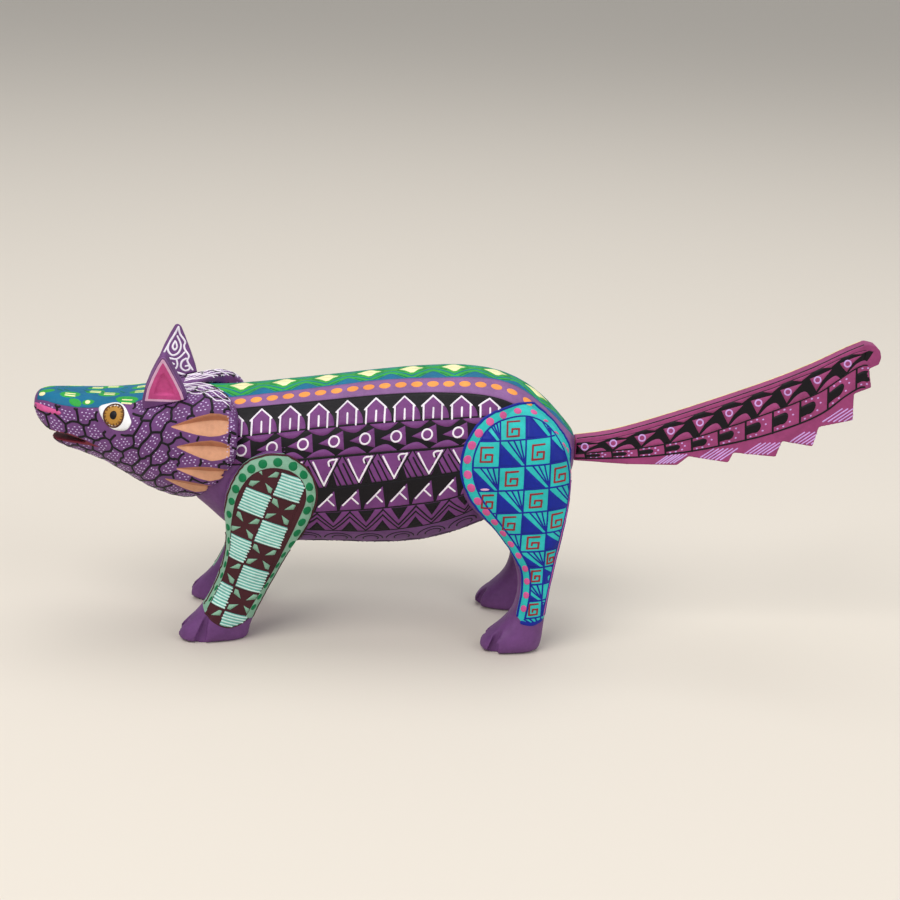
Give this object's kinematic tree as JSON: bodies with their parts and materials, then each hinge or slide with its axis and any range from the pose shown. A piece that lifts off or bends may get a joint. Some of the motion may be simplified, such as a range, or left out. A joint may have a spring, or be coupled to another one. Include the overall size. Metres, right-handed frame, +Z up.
{
  "type": "carved wooden animal figure",
  "caption": "Carved and painted wooden coyote figure, standing, with a long toothed blade tail and push-fit ears and tail.",
  "frame": {"origin": "middle of the bounding box's footprint, on the surface that the four soles stand on", "axes": "+Z up, +X from the nose towards the tail, +Y from the animal's left side to its right side"},
  "size_m": [0.3, 0.0596, 0.1128],
  "materials": {
    "body_paint": "matte acrylic paint on sanded wood, bands of fine brushwork",
    "head_paint": "matte acrylic paint on sanded wood, scale pattern",
    "front_leg_paint": "matte acrylic paint on sanded wood, chequered field",
    "hind_leg_paint": "matte acrylic paint on sanded wood, fret field",
    "ear_paint": "matte acrylic paint on sanded wood",
    "tail_paint": "matte acrylic paint on sanded wood, toothed border",
    "bare_wood": "bare copal wood"
  },
  "bodies": {
    "body": {"torso": "body_paint", "head": "head_paint", "neck_dowel": "bare_wood", "left_front_leg": "front_leg_paint", "right_front_leg": "front_leg_paint", "left_hind_leg": "hind_leg_paint", "right_hind_leg": "hind_leg_paint", "left_front_upper_dowel": "bare_wood", "left_front_lower_dowel": "bare_wood", "left_hind_upper_dowel": "bare_wood", "left_hind_lower_dowel": "bare_wood", "right_front_upper_dowel": "bare_wood", "right_front_lower_dowel": "bare_wood", "right_hind_upper_dowel": "bare_wood", "right_hind_lower_dowel": "bare_wood"},
    "left_ear": {"left_ear": "ear_paint"},
    "right_ear": {"right_ear": "ear_paint"},
    "tail": {"tail": "tail_paint"}
  },
  "joints": [
    {"name": "left_ear_pull", "type": "slide", "parent": "body", "child": "left_ear", "axis": [0, -0.342, 0.9397], "range_m": [0, 0.009]},
    {"name": "right_ear_pull", "type": "slide", "parent": "body", "child": "right_ear", "axis": [0, 0.342, 0.9397], "range_m": [0, 0.009]},
    {"name": "tail_pull", "type": "slide", "parent": "body", "child": "tail", "axis": [1, 0, 0], "range_m": [0, 0.014]}
  ]
}
